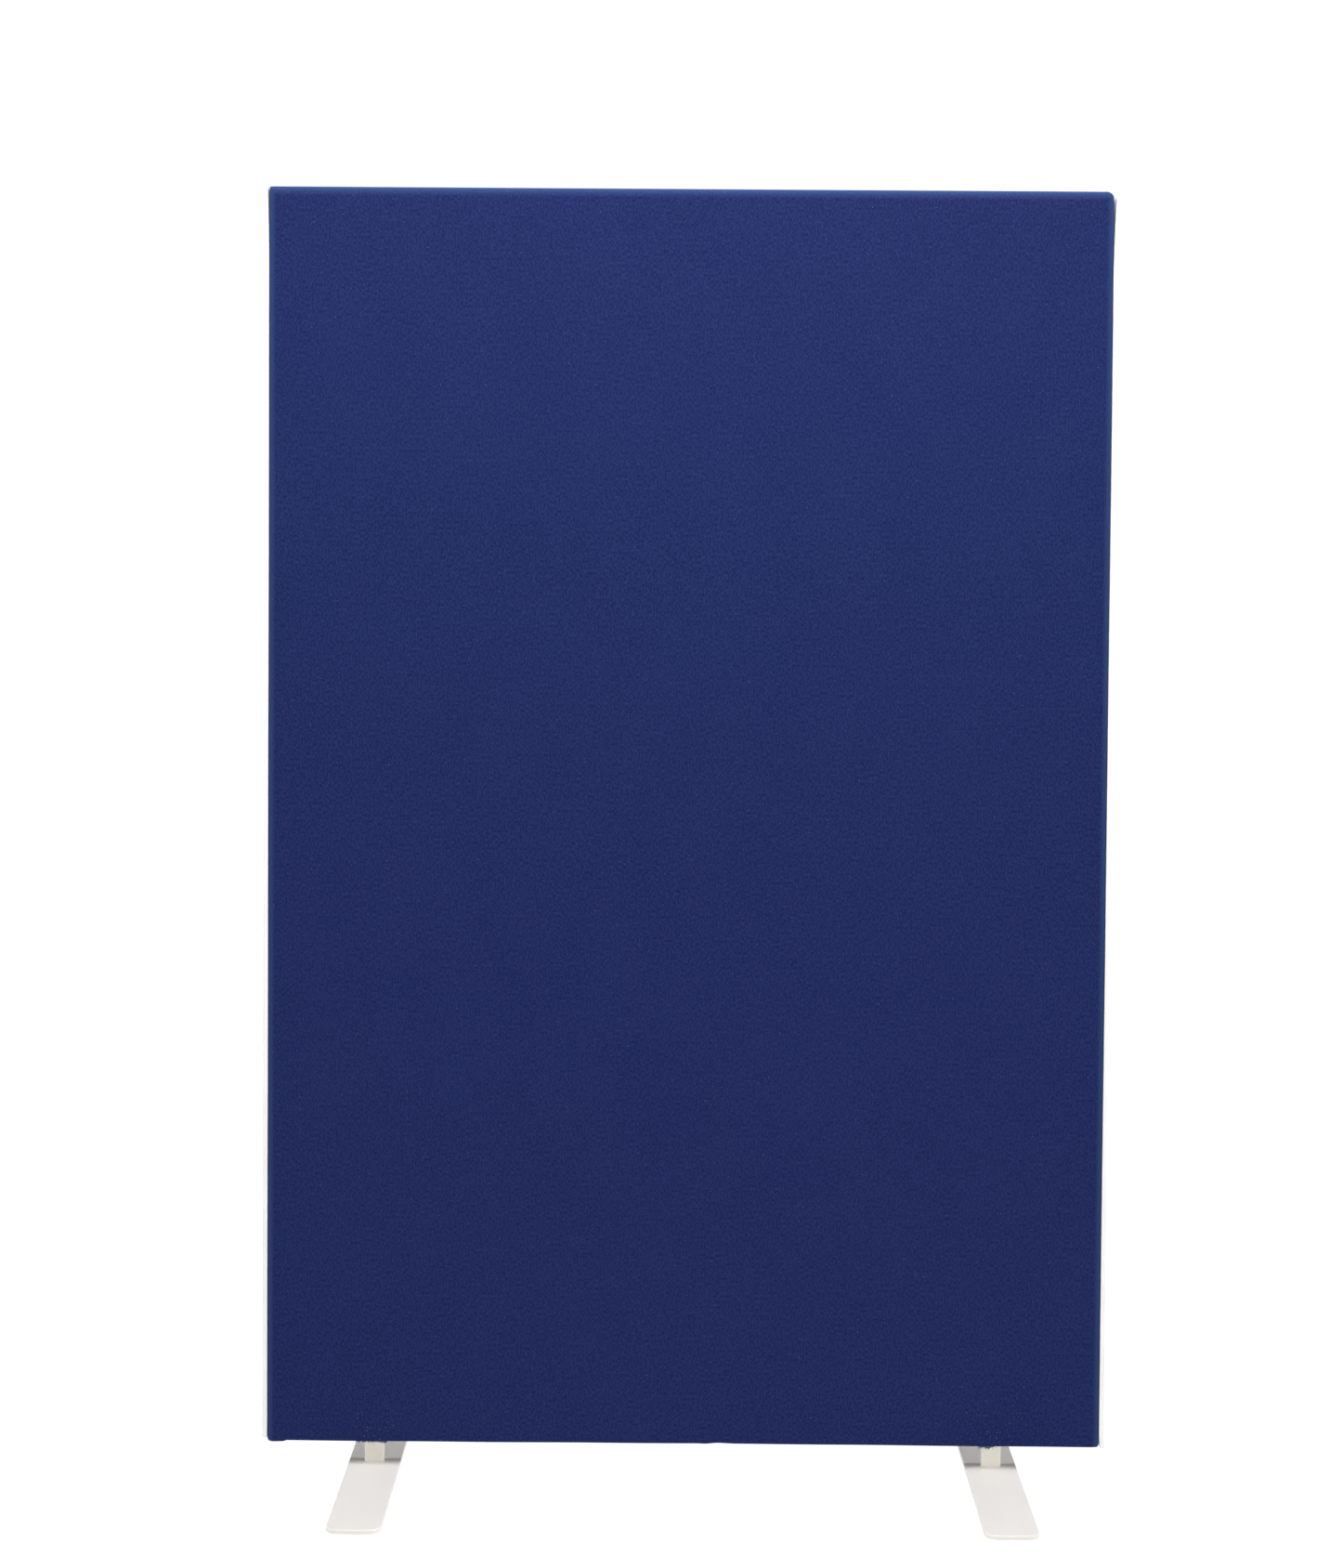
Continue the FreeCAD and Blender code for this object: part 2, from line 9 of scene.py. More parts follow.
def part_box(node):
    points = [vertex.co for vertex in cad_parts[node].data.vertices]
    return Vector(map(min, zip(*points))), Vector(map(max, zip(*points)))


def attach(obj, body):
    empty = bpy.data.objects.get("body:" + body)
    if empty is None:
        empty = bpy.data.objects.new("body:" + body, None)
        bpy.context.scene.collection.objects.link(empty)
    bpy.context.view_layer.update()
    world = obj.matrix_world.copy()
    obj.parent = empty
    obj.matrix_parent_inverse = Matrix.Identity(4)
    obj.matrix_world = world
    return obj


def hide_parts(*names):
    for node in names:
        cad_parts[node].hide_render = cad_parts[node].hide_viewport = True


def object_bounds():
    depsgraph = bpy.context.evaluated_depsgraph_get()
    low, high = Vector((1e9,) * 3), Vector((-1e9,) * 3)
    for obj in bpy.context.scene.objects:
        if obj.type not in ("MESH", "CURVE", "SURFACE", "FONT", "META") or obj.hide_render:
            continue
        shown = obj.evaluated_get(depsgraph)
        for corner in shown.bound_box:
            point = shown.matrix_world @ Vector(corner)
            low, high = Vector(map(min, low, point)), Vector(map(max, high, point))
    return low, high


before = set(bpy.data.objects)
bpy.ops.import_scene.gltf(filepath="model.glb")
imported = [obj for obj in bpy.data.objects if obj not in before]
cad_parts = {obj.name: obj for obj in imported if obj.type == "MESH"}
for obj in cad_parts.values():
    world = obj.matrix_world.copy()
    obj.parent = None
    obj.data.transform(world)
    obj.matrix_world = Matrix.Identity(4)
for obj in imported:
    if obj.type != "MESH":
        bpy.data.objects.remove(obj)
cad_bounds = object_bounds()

# Visual model of the partition wall, in metres, in the CAD's own frame.
# +X runs along the wall, -Y is the front face, +Z is up.

MM = 0.001
SIDES = {"left": -1, "right": 1}
RNG = random.Random(7)

# ---- sizes worked out from the frame ----

cover_low, cover_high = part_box("fabric_cover")
HALF_WIDTH = cover_high.x
HALF_DEPTH = cover_high.y
COVER_BOTTOM = cover_low.z
COVER_TOP = cover_high.z

# The cloth, and how its edges turn back onto the frame.
CLOTH_THICKNESS = 0.5 * MM
EDGE_WIDE = 12 * MM
EDGE_DEEP = 4 * MM
EDGE_STEPS = 8
TOP_ROUND = 13 * MM
BOTTOM_ROUND = 5 * MM
ROUND_STEPS = 7
HEM_TURNS = (1.3 * MM, 2.6 * MM, 4 * MM)

# Its two laps under the panel, the hidden one lifted off the other, and its slits.
UNDERSIDE = [y * MM for y in (-7, -4, -2, 0, 2, 4)]
LAP = 4 * MM
LAP_LIFT = 0.6 * MM
LAP_SLOPE = 3 * MM
SLIT_SPARE = 2 * MM

# How it hangs: thinner towards its edges, below the frame, and drawn up by the staples.
PILLOW = 0.5 * MM
PILLOW_WIDE = 34 * MM
SAG = 2 * MM
STAPLE_PULL = 0.3 * MM
STAPLE_REACH = (7 * MM, 3 * MM)
STAPLE_GAP = 30 * MM
SLACK = 0.30 * MM
RIPPLE = 0.10 * MM

# How far in from each side its outline rounds off, and how far it falls there.
TOP_LEFT = (1.2 * MM, 1.2 * MM)
TOP_RIGHT = (11 * MM, 9 * MM)
BOTTOM_LEFT = (4.5 * MM, 4.5 * MM)
BOTTOM_RIGHT = (2 * MM, 2 * MM)

# The tuck that bags at its lower left corner: how wide it is and how far it hangs and
# swells, with the places, in from the corner, where it hangs lowest and swells most.
TUCK_WIDE = 29 * MM
TUCK_SLOPE = 7 * MM
TUCK_DROP = 2.2 * MM
TUCK_LOWEST = 8 * MM
TUCK_SWELL = 1.1 * MM
TUCK_BELLY = (12 * MM, 8 * MM)
TUCK_SPREAD = 14 * MM

# The crease in its lower edge, as (rise, place along the wall, spread) of each part.
CREASE = ((0.9 * MM, 52 * MM, 13 * MM), (-0.5 * MM, 33 * MM, 8 * MM))
CREASE_SPAN = (20 * MM, 80 * MM)

# How fine its mesh is.
COLUMN_STEP = 8 * MM
COLUMN_SPARE = 2.5 * MM
ROW_STEP = 18 * MM


# ---- small helpers ----


def ease(value):
    """A smooth step from 0 to 1 as the value goes from 0 to 1."""
    value = min(max(value, 0.0), 1.0)
    return value * value * (3 - 2 * value)


def hump(value, middle, spread):
    """A bell of height 1."""
    return math.exp(-(((value - middle) / spread) ** 2))


def evenly(low, high, count):
    """So many numbers from low to high, at equal steps."""
    return [low + (high - low) * i / (count - 1) for i in range(count)]


def corner_drop(distance, wide, tall):
    """How far an outline has fallen at a distance in from a rounded corner's side."""
    if distance >= wide:
        return 0.0
    return tall * (1 - math.sqrt(1 - (1 - distance / wide) ** 2))


def make_object(name, vertices, faces, material, flat=False):
    """A mesh object in the scene, smooth unless it is flat."""
    mesh = bpy.data.meshes.new(name)
    mesh.from_pydata([tuple(v) for v in vertices], [], faces)
    mesh.validate()
    mesh.update()
    for polygon in mesh.polygons:
        polygon.use_smooth = not flat
    mesh.materials.append(material)
    piece = bpy.data.objects.new(name, mesh)
    bpy.context.scene.collection.objects.link(piece)
    return piece


def outward(piece):
    """Makes every face of a closed piece point outwards."""
    work = bmesh.new()
    work.from_mesh(piece.data)
    bmesh.ops.recalc_face_normals(work, faces=work.faces)
    work.to_mesh(piece.data)
    work.free()


def column_faces(count, rings):
    """Quads between each closed ring of points and the next, and a face at both ends."""
    faces = []
    for ring in range(rings - 1):
        base = ring * count
        for i in range(count):
            j = (i + 1) % count
            faces.append((base + i, base + j, base + count + j, base + count + i))
    faces.append(tuple(reversed(range(count))))
    faces.append(tuple(range(count * (rings - 1), count * rings)))
    return faces


def rounded_outline(corners, steps=5):
    """A closed outline from (x, y, radius) corners, each turned as an arc."""
    outline = []
    for index, (x, y, radius) in enumerate(corners):
        here = Vector((x, y))
        before = (Vector(corners[index - 1][:2]) - here).normalized()
        after = (Vector(corners[(index + 1) % len(corners)][:2]) - here).normalized()
        if radius == 0:
            outline.append(here)
            continue
        half_angle = before.angle(after) / 2
        reach = radius / math.tan(half_angle)
        middle = here + (before + after).normalized() * (radius / math.sin(half_angle))
        start = here + before * reach - middle
        end = here + after * reach - middle
        between = [start.lerp(end, k / steps).normalized() * radius for k in range(1, steps)]
        outline += [middle + arm for arm in [start, *between, end]]
    return outline


def settle_normals(piece):
    """Keeps flat faces flat-looking beside small rounded edges."""
    weighted = piece.modifiers.new("normals", "WEIGHTED_NORMAL")
    weighted.keep_sharp = True
    weighted.weight = 80


# ---- places worked out from the frame ----


def tongue_middle(side):
    """Where a foot's tongue is along the wall."""
    low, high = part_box(f"{side}_foot_tongue")
    return (low.x + high.x) / 2


def slit_half():
    """Half the length of the slit that a tongue comes through."""
    low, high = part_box("left_foot_tongue")
    return (high.x - low.x) / 2 + SLIT_SPARE


def staple_places():
    """Where along the wall each cover staple is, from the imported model."""
    spots = sorted(v.co.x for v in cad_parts["cover_staples"].data.vertices)
    groups = [[spots[0]]]
    for x in spots[1:]:
        if x - groups[-1][-1] > STAPLE_GAP:
            groups.append([])
        groups[-1].append(x)
    return [(g[0] + g[-1]) / 2 for g in groups]


STAPLES = staple_places()


# ---- materials ----


class Paint:
    """A node material under construction."""

    def __init__(self, name):
        self.material = bpy.data.materials.new(name)
        self.material.use_nodes = True
        self.tree = self.material.node_tree
        self.shader = self.tree.nodes["Principled BSDF"]

    def add(self, kind, **settings):
        node = self.tree.nodes.new(kind)
        for key, value in settings.items():
            setattr(node, key, value)
        return node

    def link(self, source, target):
        self.tree.links.new(source, target)

    def fix(self, **values):
        """Sets constant values on the shader's own sockets."""
        for key, value in values.items():
            self.shader.inputs[key.replace("_", " ")].default_value = value

    def place(self, stretch=(1, 1, 1), cloth=False):
        """Coordinates in millimetres, divided along each axis by the stretch."""
        if cloth:
            source = self.add("ShaderNodeUVMap", uv_map="cloth").outputs["UV"]
        else:
            source = self.add("ShaderNodeTexCoord").outputs["Object"]
        mapping = self.add("ShaderNodeMapping")
        mapping.inputs["Scale"].default_value = [1 / (MM * s) for s in stretch]
        self.link(source, mapping.inputs["Vector"])
        return mapping.outputs["Vector"]

    def noise(self, vector, detail=2.0, roughness=0.5, distortion=0.0):
        """Noise with features about one unit across."""
        node = self.add("ShaderNodeTexNoise")
        node.inputs["Scale"].default_value = 1.0
        node.inputs["Detail"].default_value = detail
        node.inputs["Roughness"].default_value = roughness
        node.inputs["Distortion"].default_value = distortion
        self.link(vector, node.inputs["Vector"])
        return node.outputs["Fac"]

    def math(self, operation, first, second=0.0):
        node = self.add("ShaderNodeMath", operation=operation)
        for socket, value in zip(node.inputs, (first, second)):
            if isinstance(value, (int, float)):
                socket.default_value = value
            else:
                self.link(value, socket)
        return node.outputs["Value"]

    def spread(self, value, low, high, to_low=0.0, to_high=1.0):
        """The value's range low..high stretched over to_low..to_high."""
        node = self.add("ShaderNodeMapRange")
        for socket, number in zip(list(node.inputs)[1:5], (low, high, to_low, to_high)):
            socket.default_value = number
        self.link(value, node.inputs["Value"])
        return node.outputs["Result"]

    def blend(self, factor, first, second):
        """A colour between two colours, each a triple or a socket."""
        node = self.add("ShaderNodeMix", data_type="RGBA")
        self.link(factor, node.inputs["Factor"])
        colour_sockets = [s for s in node.inputs if s.type == "RGBA"]
        for socket, colour in zip(colour_sockets, (first, second)):
            if isinstance(colour, tuple):
                socket.default_value = (*colour, 1)
            else:
                self.link(colour, socket)
        return [s for s in node.outputs if s.type == "RGBA"][0]

    def colour(self, socket):
        self.link(socket, self.shader.inputs["Base Color"])

    def roughness(self, socket):
        self.link(socket, self.shader.inputs["Roughness"])

    def bump(self, height, depth, strength=1.0):
        """Relief of that depth in metres where the height goes from 0 to 1."""
        node = self.add("ShaderNodeBump")
        node.inputs["Strength"].default_value = strength
        node.inputs["Distance"].default_value = depth
        self.link(height, node.inputs["Height"])
        self.link(node.outputs["Normal"], self.shader.inputs["Normal"])


def scaled(colour, factor):
    """A colour made lighter or darker."""
    return tuple(channel * factor for channel in colour)


# The cloth's colours, and the sizes in its weave and its masks, in millimetres.
CLOTH_BLUE = (0.0058, 0.0121, 0.0735)
CLOTH_PALE = (0.0156, 0.0251, 0.1050)
# The paler blue of a painted sheen, where light catches the cloth's rounded top and upright edges.
RIM_SHEEN_BLUE = (0.030, 0.060, 0.165)
LINT = (0.42, 0.47, 0.56)
WARP_PITCH = 1.3
WEFT_PITCH = 1.5
YARN_WANDER = 1.6
SIDE_RIM = (10, 2)
TOP_RIM = (13, 1.5)
LINT_BESIDE = (18, 45)
LINT_ABOVE = (12, 75)


def painted_rim_sheen(paint):
    """A mask for the painted sheen, which rises along the cloth's top edge and its two upright edges.
    """
    parts = paint.add("ShaderNodeSeparateXYZ")
    paint.link(paint.place(), parts.inputs["Vector"])
    wide = HALF_WIDTH / MM
    tall = COVER_TOP / MM
    aside = paint.math("ABSOLUTE", parts.outputs["X"])
    sides = paint.spread(aside, wide - SIDE_RIM[0], wide - SIDE_RIM[1], 0, 0.8)
    top = paint.spread(parts.outputs["Z"], tall - TOP_RIM[0], tall - TOP_RIM[1], 0, 0.65)
    return paint.math("MAXIMUM", sides, top)


def near_the_slits(paint):
    """A mask that is 1 on the cloth just above the feet and fades out round about."""
    parts = paint.add("ShaderNodeSeparateXYZ")
    paint.link(paint.place(), parts.inputs["Vector"])
    middle = tongue_middle("right") / MM
    low = COVER_BOTTOM / MM
    from_centre = paint.math("ABSOLUTE", parts.outputs["X"])
    aside = paint.math("ABSOLUTE", paint.math("SUBTRACT", from_centre, middle))
    beside = paint.spread(aside, *LINT_BESIDE, 1, 0)
    above = paint.spread(parts.outputs["Z"], low + LINT_ABOVE[0], low + LINT_ABOVE[1], 1, 0)
    return paint.math("MULTIPLY", beside, above)


def cloth_material():
    """Royal-blue crepe: fine warp and weft, slubs along the warp, faint mottling, lint, and a painted
    sheen along its top and upright edges.
    """
    paint = Paint("cloth_blue")
    fine = paint.place((1, 1, 1), cloth=True)
    wander = paint.math("MULTIPLY", paint.noise(paint.place((3, 3, 3), cloth=True)), YARN_WANDER)
    parts = paint.add("ShaderNodeSeparateXYZ")
    paint.link(fine, parts.inputs["Vector"])
    across = paint.math("ADD", parts.outputs["X"], wander)
    along = paint.math("ADD", parts.outputs["Y"], wander)
    warp = paint.math("SINE", paint.math("MULTIPLY", across, 2 * math.pi / WARP_PITCH))
    weft = paint.math("SINE", paint.math("MULTIPLY", along, 2 * math.pi / WEFT_PITCH))
    crossing = paint.spread(paint.math("MULTIPLY", warp, weft), -1, 1)
    crepe = paint.noise(paint.place((2.2, 4.2, 1), cloth=True), detail=2, roughness=0.6)
    slubs = paint.noise(paint.place((2.6, 24, 1), cloth=True), detail=2, roughness=0.55)
    mottle = paint.noise(paint.place((90, 160, 1), cloth=True), detail=3, roughness=0.6)

    height = paint.math("ADD", paint.math("MULTIPLY", crossing, 0.45), crepe)
    paint.bump(height, 0.35 * MM, 0.8)

    tone = paint.math("ADD", paint.spread(crepe, 0.4, 0.6, -0.5, 0.5), 0.5)
    tone = paint.math("ADD", tone, paint.spread(slubs, 0.3, 0.7, -0.16, 0.16))
    tone = paint.math("ADD", tone, paint.spread(mottle, 0.3, 0.7, -0.07, 0.07))
    tone = paint.math("ADD", tone, paint.spread(crossing, 0, 1, -0.14, 0.14))
    shade = paint.blend(paint.spread(tone, 0, 1), CLOTH_BLUE, CLOTH_PALE)
    # Painted sheen: the blue is made paler near the top and upright edges.
    shade = paint.blend(painted_rim_sheen(paint), shade, RIM_SHEEN_BLUE)
    specks = paint.noise(paint.place((2.0, 1.5, 1), cloth=True), detail=0)
    sparse = paint.spread(specks, 0.86, 0.89, 0.0, 0.35)
    thick = paint.math("MULTIPLY", paint.spread(specks, 0.79, 0.82, 0.0, 0.8), near_the_slits(paint))
    paint.colour(paint.blend(paint.math("MAXIMUM", sparse, thick), shade, LINT))
    paint.roughness(paint.spread(crepe, 0.3, 0.7, 0.82, 0.95))
    paint.fix(Sheen_Weight=0.16, Sheen_Roughness=0.25, Specular_IOR_Level=0.10)
    paint.shader.inputs["Sheen Tint"].default_value = (0.45, 0.60, 1.0, 1)
    return paint.material


def thread_material():
    """The same yarn, a little paler where it is teased out."""
    paint = Paint("loose_yarn")
    twist = paint.noise(paint.place((0.4, 0.4, 1.2)), detail=2)
    paint.colour(paint.blend(paint.spread(twist, 0.48, 0.66), CLOTH_PALE, scaled(LINT, 0.5)))
    paint.bump(twist, 0.1 * MM)
    paint.fix(Roughness=0.9, Sheen_Weight=0.2, Sheen_Roughness=0.4)
    return paint.material


def plastic_material():
    """White extruded PVC with faint draw lines, flow marks and scuffs."""
    paint = Paint("white_pvc")
    lines = paint.noise(paint.place((0.8, 0.8, 160)), detail=2)
    flow = paint.noise(paint.place((14, 14, 60)), detail=3)
    scuffs = paint.noise(paint.place((3, 3, 9)), detail=4, roughness=0.7)
    white = paint.blend(paint.spread(flow, 0.3, 0.7), (0.77, 0.77, 0.76), (0.83, 0.83, 0.82))
    scuffed = paint.spread(scuffs, 0.66, 0.78, 0.0, 0.22)
    paint.colour(paint.blend(scuffed, white, (0.62, 0.61, 0.59)))
    paint.roughness(paint.spread(flow, 0.3, 0.7, 0.30, 0.46))
    paint.bump(lines, 0.04 * MM)
    paint.fix(IOR=1.53)
    return paint.material


def paint_material(name, pale, dirty):
    """Off-white powder coat: orange peel, faint soiling and dull patches."""
    paint = Paint(name)
    peel = paint.noise(paint.place((2.2, 2.2, 2.2)), detail=1)
    cloud = paint.noise(paint.place((60, 90, 60)), detail=3, roughness=0.5)
    specks = paint.noise(paint.place((1.3, 1.3, 1.3)), detail=1)
    tone = paint.blend(paint.spread(cloud, 0.35, 0.75, 0.0, 0.6), pale, dirty)
    paint.colour(paint.blend(paint.spread(specks, 0.76, 0.82, 0.0, 0.4), tone, scaled(dirty, 0.6)))
    paint.roughness(paint.spread(cloud, 0.3, 0.7, 0.34, 0.46))
    paint.bump(peel, 0.05 * MM, 0.6)
    paint.fix(IOR=1.5)
    return paint.material


def wood_material(name, grain_axis, pale, dark):
    """Sawn softwood with its growth rings drawn out along one axis."""
    paint = Paint(name)
    stretch = [9, 9, 9]
    stretch[grain_axis] = 420
    fibre_stretch = [0.7, 0.7, 0.7]
    fibre_stretch[grain_axis] = 30
    rings = paint.noise(paint.place(stretch), detail=3, distortion=0.6)
    bands = paint.math("SINE", paint.math("MULTIPLY", rings, 34))
    fibre = paint.noise(paint.place(fibre_stretch), detail=3, roughness=0.65)
    banding = paint.spread(bands, -1, 1, 0, 0.65)
    grain = paint.math("ADD", banding, paint.spread(fibre, 0.3, 0.7, 0, 0.35))
    paint.colour(paint.blend(grain, pale, dark))
    paint.roughness(paint.spread(fibre, 0.3, 0.7, 0.62, 0.82))
    paint.bump(fibre, 0.15 * MM)
    return paint.material


def board_material():
    """Wet-process hardboard: dark felted fibres."""
    paint = Paint("brown_hardboard")
    felt = paint.noise(paint.place((1.2, 1.2, 1.2)), detail=5, roughness=0.7, distortion=1.5)
    cloud = paint.noise(paint.place((60, 60, 60)), detail=3)
    near = paint.blend(paint.spread(felt, 0.3, 0.7), (0.13, 0.068, 0.034), (0.27, 0.155, 0.08))
    paint.colour(paint.blend(paint.spread(cloud, 0.3, 0.7, 0, 0.4), near, (0.17, 0.09, 0.045)))
    paint.roughness(paint.spread(felt, 0.3, 0.7, 0.45, 0.7))
    paint.bump(felt, 0.12 * MM)
    return paint.material


def paper_material():
    """Kraft paper with short fibres."""
    paint = Paint("kraft_paper")
    fibre = paint.noise(paint.place((0.9, 0.9, 0.9)), detail=4, roughness=0.7, distortion=2)
    cloud = paint.noise(paint.place((25, 25, 25)), detail=2)
    near = paint.blend(paint.spread(fibre, 0.3, 0.7), (0.40, 0.27, 0.15), (0.54, 0.39, 0.24))
    paint.colour(paint.blend(paint.spread(cloud, 0.3, 0.7, 0, 0.3), near, (0.36, 0.25, 0.14)))
    paint.bump(fibre, 0.08 * MM)
    paint.fix(Roughness=0.88)
    return paint.material


def steel_material(name, scale):
    """Zinc-plated steel with spangle and handling marks."""
    paint = Paint(name)
    spangle = paint.noise(paint.place((scale, scale, scale)), detail=3, roughness=0.6)
    marks = paint.noise(paint.place((scale / 4, scale / 4, scale * 2)), detail=3)
    paint.colour(paint.blend(paint.spread(spangle, 0.3, 0.7), (0.46, 0.47, 0.47), (0.68, 0.68, 0.66)))
    paint.roughness(paint.spread(marks, 0.3, 0.7, 0.28, 0.50))
    paint.bump(marks, 0.03 * MM)
    paint.fix(Metallic=1.0)
    return paint.material


cloth = cloth_material()
yarn = thread_material()
plastic = plastic_material()
foot_paint = paint_material("foot_powder_coat", (0.79, 0.755, 0.715), (0.73, 0.70, 0.66))
# The tongue has the plate's own powder coat; this copy is painted paler and warmer as painted light
# on the upright bar.
tongue_paint_painted_lighter = paint_material("tongue_coat_painted_lighter", (0.88, 0.845, 0.76), (0.77, 0.72, 0.625))


# ---- the cover ----


def top_line(x):
    """The height of the cover's upper edge: its right corner is worn round."""
    left = corner_drop(x + HALF_WIDTH, *TOP_LEFT)
    right = corner_drop(HALF_WIDTH - x, *TOP_RIGHT)
    return COVER_TOP - left - right


def bottom_line(x):
    """The height of the cover's lower edge: a tuck of cloth bags at its left corner."""
    from_left = x + HALF_WIDTH
    tuck = TUCK_DROP * ease((TUCK_WIDE - from_left) / TUCK_SLOPE)
    tuck *= 0.8 + 0.2 * hump(from_left, TUCK_LOWEST, TUCK_SLOPE)
    left = corner_drop(from_left, *BOTTOM_LEFT)
    right = corner_drop(HALF_WIDTH - x, *BOTTOM_RIGHT)
    crease = sum(rise * hump(x, place, spread) for rise, place, spread in CREASE)
    sway = 0.3 * MM * math.sin(7.3 * x + 1.0) + 0.15 * MM * math.sin(29 * x)
    return COVER_BOTTOM - SAG - tuck + left + right + crease + sway


def swell(x, z):
    """How far the faces stand out from flat at a place, for slack in the cloth."""
    drift = noise.noise(Vector((x * 3.1, z * 2.3, 0.4)))
    tight = noise.noise(Vector((x * 11.0, z * 7.0, 5.2)))
    tuck = TUCK_SWELL * hump(x, -HALF_WIDTH + TUCK_BELLY[0], TUCK_SPREAD)
    tuck *= hump(z, COVER_BOTTOM + TUCK_BELLY[1], TUCK_SPREAD)
    slack = SLACK * (1 + drift) + RIPPLE * (1 + tight) + tuck
    near = min(HALF_WIDTH - abs(x), COVER_TOP - z, z - COVER_BOTTOM)
    return slack - PILLOW * max(0.0, 1 - near / PILLOW_WIDE) ** 2


def edge_arc():
    """From the flat of a face out to its side: (distance in from the side, fallen back)."""
    angles = [0.5 * math.pi * k / EDGE_STEPS for k in range(EDGE_STEPS + 1)]
    return [(EDGE_WIDE * (1 - math.sin(a)), EDGE_DEEP * (1 - math.cos(a))) for a in angles]


def cover_columns():
    """Every place across the cover: (x, fallen back, turned onto the stile). They are
    closer together at the slits, the tuck, the crease and the staples."""
    arc = edge_arc()
    hems = [(0.0, EDGE_DEEP + turn, turn) for turn in HEM_TURNS]
    side = [(d, fall, 0.0) for d, fall in arc] + hems
    inner = HALF_WIDTH - EDGE_WIDE
    needed = [tongue_middle(s) + way * slit_half() for s in SIDES for way in (-1, 1)]
    needed += evenly(-inner + 3 * MM, -HALF_WIDTH + TUCK_WIDE + 5 * MM, 9)
    needed += evenly(*CREASE_SPAN, 16)
    needed += [x + shift for x in STAPLES for shift in (-5 * MM, 0.0, 5 * MM)]
    count = round(2 * inner / COLUMN_STEP)
    between = evenly(-inner, inner, count + 1)[1:-1]
    free = [x for x in between if min(abs(x - n) for n in needed) > COLUMN_SPARE]
    middle = sorted(free + needed)
    columns = [(-HALF_WIDTH + d, fall, turn) for d, fall, turn in reversed(side)]
    columns += [(x, 0.0, 0.0) for x in middle]
    columns += [(HALF_WIDTH - d, fall, turn) for d, fall, turn in side]
    return columns


def face_rows():
    """Shares of the height of a face, closer together at both ends."""
    height = COVER_TOP - COVER_BOTTOM
    near = [0.0, 2 * MM, 5 * MM, 9 * MM, 14 * MM, 21 * MM, 30 * MM]
    count = round((height - 2 * near[-1]) / ROW_STEP)
    middle = evenly(near[-1], height - near[-1], count + 1)[1:-1]
    return [h / height for h in near + middle + [height - n for n in reversed(near)]]


ROWS = face_rows()
QUARTER = [0.5 * math.pi * k / ROUND_STEPS for k in range(ROUND_STEPS + 1)]


def cover_loop(x, fall, turn):
    """The cover's outline at one place across the wall, from its hidden lap round the
    back, the top and the front to its outer lap, as (y, z) points."""
    half = HALF_DEPTH - fall
    low = bottom_line(x) + turn
    high = top_line(x) - turn
    corner = min(EDGE_DEEP, 0.6 * half)
    flat = half - corner
    narrow = flat / (HALF_DEPTH - EDGE_DEEP)
    rise = high - low - BOTTOM_ROUND - TOP_ROUND

    def pull(y):
        """How far the staples draw the cloth up."""
        drawn = sum(hump(x, staple, STAPLE_REACH[0]) for staple in STAPLES)
        return STAPLE_PULL * drawn * hump(y, 0, STAPLE_REACH[1])

    def face(way):
        points = []
        for share in ROWS:
            z = low + BOTTOM_ROUND + rise * share
            slack = swell(x, z) * ease(1 - fall / EDGE_DEEP)
            points.append((way * (half + slack), z))
        return points

    hidden = []
    for y in [-place * narrow for place in reversed(UNDERSIDE)]:
        lift = LAP_LIFT * (1 - ease((y - LAP) / LAP_SLOPE))
        hidden.append((y, low + lift + pull(y)))
    rear_low = [
        (flat + corner * math.sin(a), low + BOTTOM_ROUND * (1 - math.cos(a))) for a in QUARTER[:-1]
    ]
    rear_high = [
        (flat + corner * math.cos(a), high - TOP_ROUND * (1 - math.sin(a))) for a in QUARTER[1:]
    ]
    top = [(flat * share, high) for share in (0.5, 0.0, -0.5)]
    front_high = [(-y, z) for y, z in reversed(rear_high)]
    front_low = [(-y, z) for y, z in reversed(rear_low)]
    outer = [(y * narrow, low + pull(y)) for y in UNDERSIDE]
    return (
        hidden + rear_low + face(1) + rear_high + top + front_high
        + face(-1)[::-1] + front_low + outer
    )


def in_a_slit(middle):
    """True for a place on the underside where a foot's tongue comes through."""
    if middle.z > COVER_BOTTOM + 2 * MM or abs(middle.y) > LAP:
        return False
    return any(abs(middle.x - tongue_middle(s)) < slit_half() for s in SIDES)


def make_cover():
    """The cloth, with its flat coordinates on it, and its length round the panel."""
    columns = cover_columns()
    loops = [cover_loop(*column) for column in columns]
    rows = len(loops[0])
    vertices = []
    places = []
    for (x, fall, turn), loop in zip(columns, loops):
        run = 0.0
        for index, (y, z) in enumerate(loop):
            if index:
                run += math.dist((y, z), loop[index - 1])
            vertices.append((x, y, z))
            places.append((x + math.copysign(fall + turn, x), run))
    faces = []
    for column in range(len(columns) - 1):
        for row in range(rows - 1):
            a = column * rows + row
            quad = (a, a + 1, a + rows + 1, a + rows)
            middle = sum((Vector(vertices[v]) for v in quad), Vector()) / 4
            if not in_a_slit(middle):
                faces.append(quad)
    piece = make_object("panel_cover", vertices, faces, cloth)
    layer = piece.data.uv_layers.new(name="cloth")
    for loop in piece.data.loops:
        layer.data[loop.index].uv = places[loop.vertex_index]
    thicken = piece.modifiers.new("thickness", "SOLIDIFY")
    thicken.thickness = CLOTH_THICKNESS
    thicken.offset = -1
    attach(piece, "panel")
    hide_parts("fabric_cover")
    girth = loops[len(loops) // 2]
    around = sum(math.dist(a, b) for a, b in zip(girth, girth[1:]))
    return piece, around


# ---- frayed cloth where the tongues come through ----

